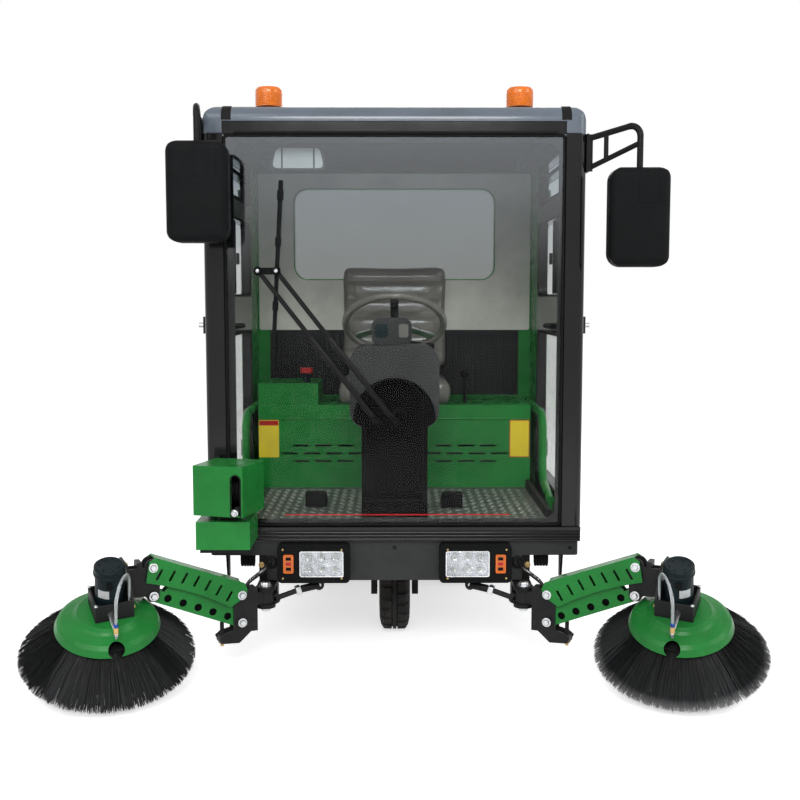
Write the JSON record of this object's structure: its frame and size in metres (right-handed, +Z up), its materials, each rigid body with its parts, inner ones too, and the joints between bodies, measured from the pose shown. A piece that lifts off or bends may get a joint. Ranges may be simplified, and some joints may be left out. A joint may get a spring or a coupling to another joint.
{
  "type": "street sweeper",
  "caption": "Small ride-on road sweeper with a closed glass cab, steered front wheel, sweeping roller, dust hopper and round side brushes on parallel-link arms.",
  "frame": {"origin": "on the ground at the middle of the overall box", "axes": "+Z up, the front faces -Y, the driver's left is +X"},
  "size_m": [2.4744, 2.5702, 2.034],
  "materials": {
    "green_paint": "satin",
    "black_paint": "satin",
    "charcoal_paint": "satin",
    "motor_paint": "satin",
    "gloss_black": "gloss",
    "gloss_charcoal": "gloss",
    "charcoal_plastic": "matte",
    "black_plastic": "matte",
    "black_rubber": "matte",
    "floor_plate": "satin",
    "battery_case": "matte",
    "seat_vinyl": "satin",
    "clear_lens": "gloss",
    "amber_lens": "gloss",
    "red_lens": "gloss",
    "glass": "gloss",
    "hose_clear": "gloss",
    "tyre": "matte",
    "zinc": "satin",
    "bristle": "matte"
  },
  "bodies": {
    "chassis": {"chassis": "black_paint", "floor_pan": "floor_plate", "front_panel": "charcoal_plastic", "headlamps": "clear_lens", "amber_lamps": "amber_lens", "cab_sill": "black_rubber", "front_pillars": "gloss_black", "roof": "gloss_charcoal", "cab_glass": "glass", "cab_rear_wall": "green_paint", "seat_box": "green_paint", "battery_pack": "battery_case", "seat_cushion": "seat_vinyl", "seat_backrest": "seat_vinyl", "steering_console": "black_plastic", "controls": "black_plastic", "hose_cabinets": "green_paint", "mirror_arms": "black_paint", "mirror_heads": "black_plastic", "rear_body": "green_paint", "tail_lamps": "red_lens", "rear_axle": "black_paint", "roller_housing": "black_paint", "grab_rails": "green_paint"},
    "front_fork": {"steering_fork": "black_paint"},
    "front_wheel": {"front_tyre": "tyre", "front_rim": "zinc"},
    "rear_wheel_left": {"rear_tyre_left": "tyre", "rear_rim_left": "zinc"},
    "rear_wheel_right": {"rear_tyre_right": "tyre", "rear_rim_right": "zinc"},
    "hand_wheel": {"steering_wheel": "black_plastic"},
    "hopper_door": {"rear_door": "green_paint"},
    "roller": {"roller_brush": "bristle"},
    "wiper_drive": {"wiper_drive_arm": "black_paint"},
    "wiper_guide": {"wiper_guide_arm": "black_paint"},
    "wiper": {"wiper_blade": "black_rubber"},
    "door_left": {"door_left": "gloss_black", "door_glass_left": "glass"},
    "swing_left": {"swing_bracket_left": "charcoal_paint"},
    "upper_link_left": {"upper_link_left": "green_paint"},
    "lower_link_left": {"lower_link_left": "green_paint"},
    "brush_head_left": {"brush_cradle_left": "charcoal_paint", "brush_motor_left": "motor_paint", "brush_cover_left": "green_paint", "spray_hose_left": "hose_clear"},
    "brush_left": {"side_brush_left": "bristle"},
    "door_right": {"door_right": "gloss_black", "door_glass_right": "glass"},
    "swing_right": {"swing_bracket_right": "charcoal_paint"},
    "upper_link_right": {"upper_link_right": "green_paint"},
    "lower_link_right": {"lower_link_right": "green_paint"},
    "brush_head_right": {"brush_cradle_right": "charcoal_paint", "brush_motor_right": "motor_paint", "brush_cover_right": "green_paint", "spray_hose_right": "hose_clear"},
    "brush_right": {"side_brush_right": "bristle"}
  },
  "joints": [
    {"name": "front_steer", "type": "hinge", "parent": "chassis", "child": "front_fork", "pos_m": [0, -0.31186, 0.45], "axis": [0, 0, 1], "range_deg": [-50, 50]},
    {"name": "front_roll", "type": "hinge", "parent": "front_fork", "child": "front_wheel", "pos_m": [0, -0.31186, 0.207], "axis": [1, 0, 0], "continuous": true},
    {"name": "hand_wheel_turn", "type": "hinge", "parent": "chassis", "child": "hand_wheel", "pos_m": [0, -0.27486, 1.195], "axis": [0, 0.5736, 0.8192], "range_deg": [-310, 310]},
    {"name": "hopper_door_lift", "type": "hinge", "parent": "chassis", "child": "hopper_door", "pos_m": [0, 1.24264, 1.318], "axis": [1, 0, 0], "range_deg": [0, 95]},
    {"name": "roller_spin", "type": "hinge", "parent": "chassis", "child": "roller", "pos_m": [0, 0.40514, 0.156], "axis": [1, 0, 0], "continuous": true},
    {"name": "wiper_sweep", "type": "hinge", "parent": "chassis", "child": "wiper_drive", "pos_m": [-0.062, -0.75286, 0.867], "axis": [0, 1, 0], "range_deg": [0, 70]},
    {"name": "wiper_guide_turn", "type": "hinge", "parent": "chassis", "child": "wiper_guide", "pos_m": [0.001, -0.75286, 0.867], "axis": [0, 1, 0], "range_deg": [0, 70]},
    {"name": "wiper_blade_turn", "type": "hinge", "parent": "wiper_drive", "child": "wiper", "pos_m": [-0.46957, -0.75286, 1.38866], "axis": [0, 1, 0], "range_deg": [-70, 0]},
    {"name": "rear_roll_left", "type": "hinge", "parent": "chassis", "child": "rear_wheel_left", "pos_m": [0.53, 0.77514, 0.207], "axis": [1, 0, 0], "continuous": true},
    {"name": "door_left_swing", "type": "hinge", "parent": "chassis", "child": "door_left", "pos_m": [0.668, 0.23014, 1.18], "axis": [0, 0, 1], "range_deg": [0, 75]},
    {"name": "arm_left_swing", "type": "hinge", "parent": "chassis", "child": "swing_left", "pos_m": [0.45, -0.80286, 0.259], "axis": [0, 0, -1], "range_deg": [0, 40]},
    {"name": "arm_left_lift", "type": "hinge", "parent": "swing_left", "child": "upper_link_left", "pos_m": [0.53755, -0.84462, 0.283], "axis": [-0.4305, -0.9026, 0], "range_deg": [0, 12]},
    {"name": "lower_link_left_turn", "type": "hinge", "parent": "swing_left", "child": "lower_link_left", "pos_m": [0.53755, -0.84462, 0.187], "axis": [-0.4305, -0.9026, 0], "range_deg": [0, 12]},
    {"name": "brush_head_left_level", "type": "hinge", "parent": "upper_link_left", "child": "brush_head_left", "pos_m": [0.81006, -0.9746, 0.41116], "axis": [-0.4305, -0.9026, 0], "range_deg": [-12, 0]},
    {"name": "brush_left_spin", "type": "hinge", "parent": "brush_head_left", "child": "brush_left", "pos_m": [0.949, -1.01486, 0.11987], "axis": [-0.1102, -0.3625, 0.9255], "continuous": true},
    {"name": "rear_roll_right", "type": "hinge", "parent": "chassis", "child": "rear_wheel_right", "pos_m": [-0.53, 0.77514, 0.207], "axis": [1, 0, 0], "continuous": true},
    {"name": "door_right_swing", "type": "hinge", "parent": "chassis", "child": "door_right", "pos_m": [-0.668, 0.23014, 1.18], "axis": [0, 0, -1], "range_deg": [0, 75]},
    {"name": "arm_right_swing", "type": "hinge", "parent": "chassis", "child": "swing_right", "pos_m": [-0.45, -0.80286, 0.259], "axis": [0, 0, 1], "range_deg": [0, 40]},
    {"name": "arm_right_lift", "type": "hinge", "parent": "swing_right", "child": "upper_link_right", "pos_m": [-0.53755, -0.84462, 0.283], "axis": [-0.4305, 0.9026, 0], "range_deg": [0, 12]},
    {"name": "lower_link_right_turn", "type": "hinge", "parent": "swing_right", "child": "lower_link_right", "pos_m": [-0.53755, -0.84462, 0.187], "axis": [-0.4305, 0.9026, 0], "range_deg": [0, 12]},
    {"name": "brush_head_right_level", "type": "hinge", "parent": "upper_link_right", "child": "brush_head_right", "pos_m": [-0.81006, -0.9746, 0.41116], "axis": [-0.4305, 0.9026, 0], "range_deg": [-12, 0]},
    {"name": "brush_right_spin", "type": "hinge", "parent": "brush_head_right", "child": "brush_right", "pos_m": [-0.949, -1.01486, 0.11987], "axis": [0.1102, -0.3625, 0.9255], "continuous": true}
  ],
  "couplings": [
    {"joint": "hand_wheel_turn", "follows": "front_steer", "ratio": 6},
    {"joint": "wiper_guide_turn", "follows": "wiper_sweep", "ratio": 1},
    {"joint": "wiper_blade_turn", "follows": "wiper_sweep", "ratio": -1},
    {"joint": "lower_link_left_turn", "follows": "arm_left_lift", "ratio": 1},
    {"joint": "brush_head_left_level", "follows": "arm_left_lift", "ratio": -1},
    {"joint": "lower_link_right_turn", "follows": "arm_right_lift", "ratio": 1},
    {"joint": "brush_head_right_level", "follows": "arm_right_lift", "ratio": -1}
  ]
}
